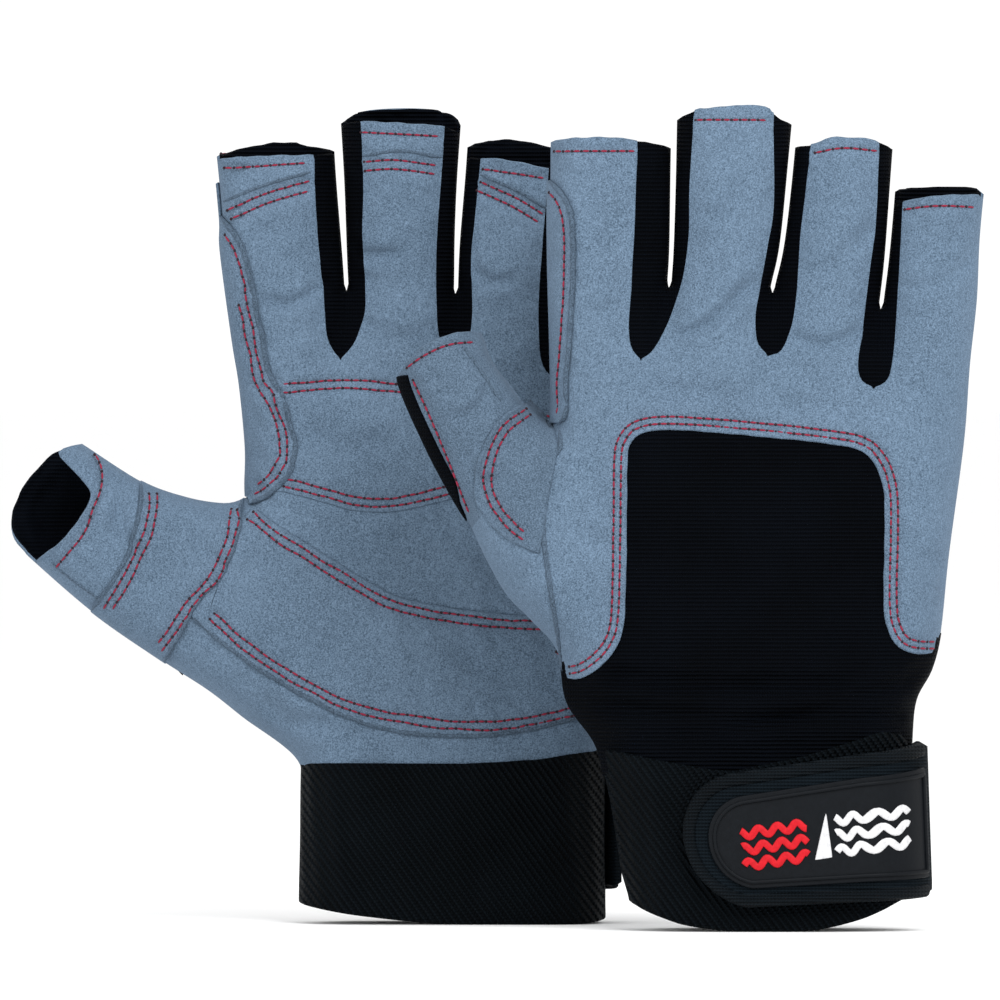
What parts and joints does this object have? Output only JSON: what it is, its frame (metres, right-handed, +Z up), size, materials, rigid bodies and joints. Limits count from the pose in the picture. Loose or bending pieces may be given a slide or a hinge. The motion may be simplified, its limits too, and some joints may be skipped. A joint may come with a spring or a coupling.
{
  "type": "pair of short-finger sailing gloves",
  "caption": "Pair of suede sailing gloves with short open fingers and thumbs, ribbed stretch inserts, elastic cuffs and hook-and-loop wrist straps, filled out as if worn.",
  "frame": {"origin": "middle of the pair, at the level the cuffs stand on", "axes": "+X across the hands towards the little finger of both gloves, +Y from the front glove to the one behind it, +Z up the fingers"},
  "size_m": [0.2272, 0.11, 0.1932],
  "materials": {
    "suede": "matt brushed nap",
    "suede_patch": "matt brushed nap, sewn on as a second layer",
    "stretch_knit": "fine cross ribs",
    "elastic_band": "diagonal twill",
    "strap_web": "plain weave",
    "edge_binding": "narrow ribbed tape",
    "hook_tape": "small hooks",
    "loop_tape": "brushed loops",
    "badge_rubber": "moulded, with a raised border"
  },
  "bodies": {
    "left_hand": {"left_palm_panel": "suede", "left_back_panel": "suede", "left_back_knit": "stretch_knit", "left_web_gussets": "stretch_knit", "left_palm_patch": "suede_patch", "left_heel_patch": "suede_patch", "left_index_patch": "suede_patch", "left_cuff_band": "elastic_band", "left_loop_tape": "loop_tape", "left_strap_root": "strap_web"},
    "left_index": {"left_index_front": "suede", "left_index_back": "suede", "left_index_gussets": "stretch_knit"},
    "left_middle": {"left_middle_front": "suede", "left_middle_back": "suede", "left_middle_gussets": "stretch_knit"},
    "left_ring": {"left_ring_front": "suede", "left_ring_back": "suede", "left_ring_gussets": "stretch_knit"},
    "left_little": {"left_little_front": "suede", "left_little_back": "suede", "left_little_gussets": "stretch_knit"},
    "left_thumb": {"left_thumb_front": "suede", "left_thumb_back": "suede", "left_thumb_gusset": "stretch_knit"},
    "left_strap": {"left_strap": "strap_web", "left_strap_binding": "edge_binding", "left_hook_tape": "hook_tape", "left_badge": "badge_rubber"},
    "right_hand": {"right_palm_panel": "suede", "right_back_panel": "suede", "right_back_knit": "stretch_knit", "right_web_gussets": "stretch_knit", "right_palm_patch": "suede_patch", "right_heel_patch": "suede_patch", "right_index_patch": "suede_patch", "right_cuff_band": "elastic_band", "right_loop_tape": "loop_tape", "right_strap_root": "strap_web"},
    "right_index": {"right_index_front": "suede", "right_index_back": "suede", "right_index_gussets": "stretch_knit"},
    "right_middle": {"right_middle_front": "suede", "right_middle_back": "suede", "right_middle_gussets": "stretch_knit"},
    "right_ring": {"right_ring_front": "suede", "right_ring_back": "suede", "right_ring_gussets": "stretch_knit"},
    "right_little": {"right_little_front": "suede", "right_little_back": "suede", "right_little_gussets": "stretch_knit"},
    "right_thumb": {"right_thumb_front": "suede", "right_thumb_back": "suede", "right_thumb_gusset": "stretch_knit"},
    "right_strap": {"right_strap": "strap_web", "right_strap_binding": "edge_binding", "right_hook_tape": "hook_tape", "right_badge": "badge_rubber"}
  },
  "joints": [
    {"name": "left_index_flex", "type": "hinge", "parent": "left_hand", "child": "left_index", "pos_m": [-0.05128, 0.0223, 0.138], "axis": [1, 0, 0], "range_deg": [0, 60]},
    {"name": "left_middle_flex", "type": "hinge", "parent": "left_hand", "child": "left_middle", "pos_m": [-0.02382, 0.0221, 0.138], "axis": [1, 0, 0], "range_deg": [0, 60]},
    {"name": "left_ring_flex", "type": "hinge", "parent": "left_hand", "child": "left_ring", "pos_m": [0.00185, 0.0225, 0.138], "axis": [1, 0, 0], "range_deg": [0, 60]},
    {"name": "left_little_flex", "type": "hinge", "parent": "left_hand", "child": "left_little", "pos_m": [0.02444, 0.0231, 0.131], "axis": [1, 0, 0], "range_deg": [0, 60]},
    {"name": "left_thumb_flex", "type": "hinge", "parent": "left_hand", "child": "left_thumb", "pos_m": [-0.07012, 0.0171, 0.082], "axis": [0.452, 0, 0.892], "range_deg": [0, 40]},
    {"name": "left_strap_peel", "type": "hinge", "parent": "left_hand", "child": "left_strap", "pos_m": [0.02938, 0.036, 0.021], "axis": [0, 0, -1], "range_deg": [0, 150]},
    {"name": "right_index_flex", "type": "hinge", "parent": "right_hand", "child": "right_index", "pos_m": [0.02399, -0.0223, 0.138], "axis": [-1, 0, 0], "range_deg": [0, 60]},
    {"name": "right_middle_flex", "type": "hinge", "parent": "right_hand", "child": "right_middle", "pos_m": [0.04995, -0.0221, 0.138], "axis": [-1, 0, 0], "range_deg": [0, 60]},
    {"name": "right_ring_flex", "type": "hinge", "parent": "right_hand", "child": "right_ring", "pos_m": [0.07634, -0.0225, 0.138], "axis": [-1, 0, 0], "range_deg": [0, 60]},
    {"name": "right_little_flex", "type": "hinge", "parent": "right_hand", "child": "right_little", "pos_m": [0.099, -0.0231, 0.131], "axis": [-1, 0, 0], "range_deg": [0, 60]},
    {"name": "right_thumb_flex", "type": "hinge", "parent": "right_hand", "child": "right_thumb", "pos_m": [-0.00032, -0.0167, 0.1124], "axis": [-0.8571, 0, -0.5151], "range_deg": [0, 40]},
    {"name": "right_strap_peel", "type": "hinge", "parent": "right_hand", "child": "right_strap", "pos_m": [0.10108, -0.036, 0.021], "axis": [0, 0, 1], "range_deg": [0, 150]},
    {"name": "right_glove_slide", "type": "slide", "parent": "left_hand", "child": "right_hand", "axis": [0, -1, 0], "range_m": [0, 0.15]}
  ]
}
